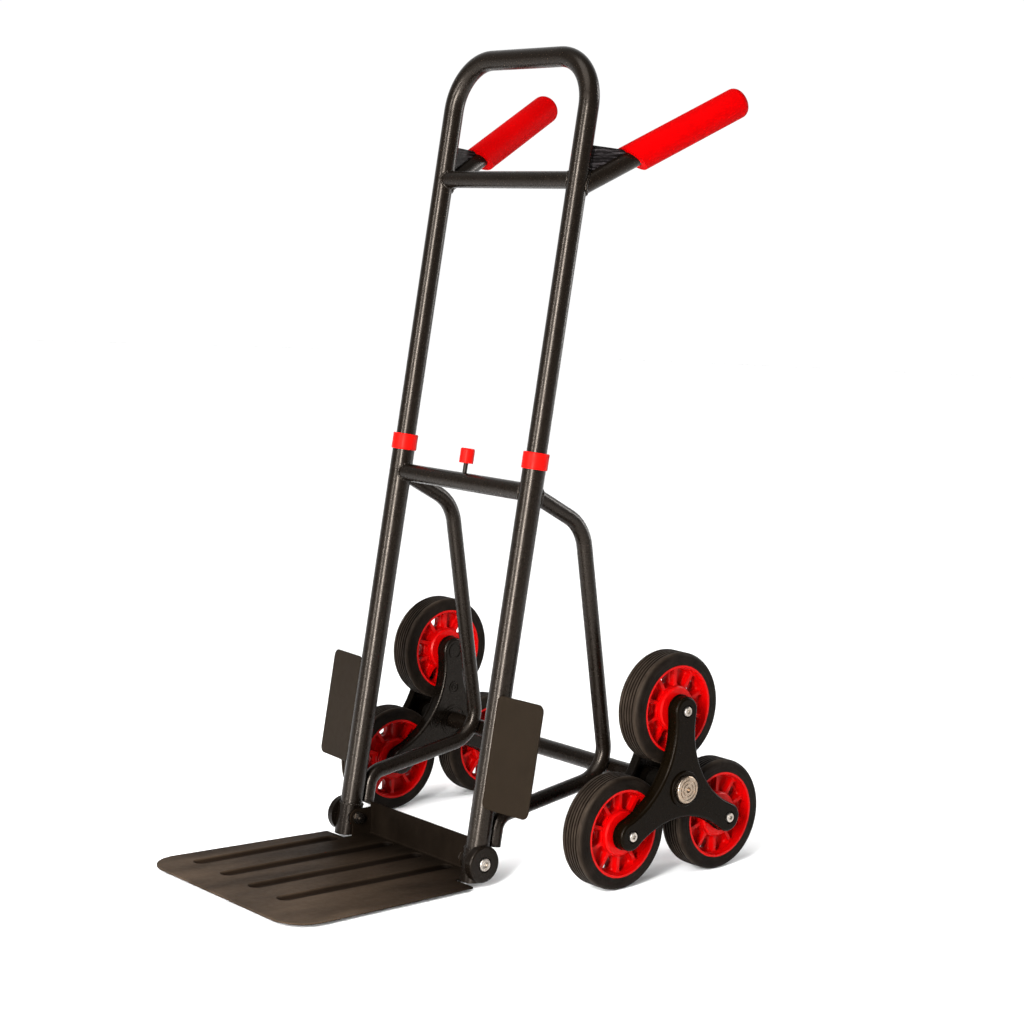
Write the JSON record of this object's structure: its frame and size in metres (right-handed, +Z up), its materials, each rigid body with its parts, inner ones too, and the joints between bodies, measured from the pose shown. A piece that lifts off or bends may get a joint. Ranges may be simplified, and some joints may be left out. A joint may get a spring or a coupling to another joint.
{
  "type": "stair climbing trolley",
  "caption": "Folding hand trolley with a telescopic tube frame, hinged toe plate, swept grips and triple-wheel clusters for climbing stairs.",
  "frame": {"origin": "on the floor, under the centre of the trolley's bounding box", "axes": "+X towards the trolley's right-hand side when it is seen from the load side with the toe plate nearest, -Y from the axle towards the toe plate, +Z up"},
  "size_m": [0.597, 0.7382, 1.1319],
  "materials": {
    "frame_paint": "satin black powder coat on round steel tube",
    "plate_paint": "matt brown-black powder coat on sheet steel",
    "red_moulding": "bright red moulded plastic",
    "wheel_red": "semi-gloss red moulded polypropylene",
    "tyre_rubber": "solid black rubber",
    "grip_red": "smooth red vinyl foam",
    "star_black": "fine-grained black moulded nylon",
    "black_moulding": "black moulded nylon",
    "black_nylon": "black nylon",
    "zinc_steel": "bright zinc plate"
  },
  "bodies": {
    "lower_frame": {"upright_left": "frame_paint", "upright_right": "frame_paint", "collar_left": "red_moulding", "collar_right": "red_moulding", "hinge_knuckle_left": "black_moulding", "hinge_knuckle_right": "black_moulding", "rear_frame_left": "frame_paint", "rear_frame_right": "frame_paint", "side_plate_left": "plate_paint", "side_plate_right": "plate_paint", "leg_plugs": "black_nylon", "lower_crossbar": "frame_paint", "latch_guides": "black_nylon", "axle_tube": "frame_paint", "axle_bushes": "black_nylon", "axle_rod": "zinc_steel", "hub_caps": "zinc_steel", "hinge_fasteners": "zinc_steel"},
    "latch_button": {"latch_button": "red_moulding", "latch_stem": "black_nylon"},
    "latch_pin_left": {"latch_pin_left": "zinc_steel"},
    "latch_pin_right": {"latch_pin_right": "zinc_steel"},
    "upper_frame": {"upper_frame": "frame_paint", "upper_crossbar": "frame_paint", "handle_tube_left": "frame_paint", "handle_tube_right": "frame_paint", "gusset_left": "frame_paint", "gusset_right": "frame_paint", "grip_left": "grip_red", "grip_right": "grip_red", "guide_bushes": "black_nylon"},
    "toe_plate": {"toe_plate": "plate_paint"},
    "wheel_cluster_left": {"outer_plate_left": "star_black", "inner_plate_left": "star_black", "hub_sleeve_left": "black_nylon", "wheel_bolts_left": "zinc_steel"},
    "wheel_left_top": {"tyre_left_top": "tyre_rubber", "rim_left_top": "wheel_red", "wheel_bush_left_top": "zinc_steel"},
    "wheel_left_front": {"tyre_left_front": "tyre_rubber", "rim_left_front": "wheel_red", "wheel_bush_left_front": "zinc_steel"},
    "wheel_left_rear": {"tyre_left_rear": "tyre_rubber", "rim_left_rear": "wheel_red", "wheel_bush_left_rear": "zinc_steel"},
    "wheel_cluster_right": {"outer_plate_right": "star_black", "inner_plate_right": "star_black", "hub_sleeve_right": "black_nylon", "wheel_bolts_right": "zinc_steel"},
    "wheel_right_top": {"tyre_right_top": "tyre_rubber", "rim_right_top": "wheel_red", "wheel_bush_right_top": "zinc_steel"},
    "wheel_right_front": {"tyre_right_front": "tyre_rubber", "rim_right_front": "wheel_red", "wheel_bush_right_front": "zinc_steel"},
    "wheel_right_rear": {"tyre_right_rear": "tyre_rubber", "rim_right_rear": "wheel_red", "wheel_bush_right_rear": "zinc_steel"}
  },
  "joints": [
    {"name": "upper_frame_slide", "type": "slide", "parent": "lower_frame", "child": "upper_frame", "axis": [0, 0.1468, 0.9892], "range_m": [-0.335, 0]},
    {"name": "latch_button_press", "type": "slide", "parent": "lower_frame", "child": "latch_button", "axis": [0, -0.1468, -0.9892], "range_m": [0, 0.007]},
    {"name": "latch_pin_left_slide", "type": "slide", "parent": "lower_frame", "child": "latch_pin_left", "axis": [-1, 0, 0], "range_m": [0, 0.007]},
    {"name": "latch_pin_right_slide", "type": "slide", "parent": "lower_frame", "child": "latch_pin_right", "axis": [1, 0, 0], "range_m": [0, 0.007]},
    {"name": "toe_plate_fold", "type": "hinge", "parent": "lower_frame", "child": "toe_plate", "pos_m": [0, -0.04705, 0.033], "axis": [-1, 0, 0], "range_deg": [0, 97]},
    {"name": "wheel_cluster_left_spin", "type": "hinge", "parent": "lower_frame", "child": "wheel_cluster_left", "pos_m": [-0.2515, 0.19791, 0.1318], "axis": [1, 0, 0], "continuous": true},
    {"name": "wheel_left_top_spin", "type": "hinge", "parent": "wheel_cluster_left", "child": "wheel_left_top", "pos_m": [-0.2515, 0.19791, 0.2394], "axis": [1, 0, 0], "continuous": true},
    {"name": "wheel_left_front_spin", "type": "hinge", "parent": "wheel_cluster_left", "child": "wheel_left_front", "pos_m": [-0.2515, 0.10472, 0.078], "axis": [1, 0, 0], "continuous": true},
    {"name": "wheel_left_rear_spin", "type": "hinge", "parent": "wheel_cluster_left", "child": "wheel_left_rear", "pos_m": [-0.2515, 0.29109, 0.078], "axis": [1, 0, 0], "continuous": true},
    {"name": "wheel_cluster_right_spin", "type": "hinge", "parent": "lower_frame", "child": "wheel_cluster_right", "pos_m": [0.2515, 0.19791, 0.1318], "axis": [1, 0, 0], "continuous": true},
    {"name": "wheel_right_top_spin", "type": "hinge", "parent": "wheel_cluster_right", "child": "wheel_right_top", "pos_m": [0.2515, 0.19791, 0.2394], "axis": [1, 0, 0], "continuous": true},
    {"name": "wheel_right_front_spin", "type": "hinge", "parent": "wheel_cluster_right", "child": "wheel_right_front", "pos_m": [0.2515, 0.10472, 0.078], "axis": [1, 0, 0], "continuous": true},
    {"name": "wheel_right_rear_spin", "type": "hinge", "parent": "wheel_cluster_right", "child": "wheel_right_rear", "pos_m": [0.2515, 0.29109, 0.078], "axis": [1, 0, 0], "continuous": true}
  ],
  "couplings": [
    {"joint": "latch_pin_left_slide", "follows": "latch_button_press", "ratio": 1},
    {"joint": "latch_pin_right_slide", "follows": "latch_button_press", "ratio": 1}
  ]
}
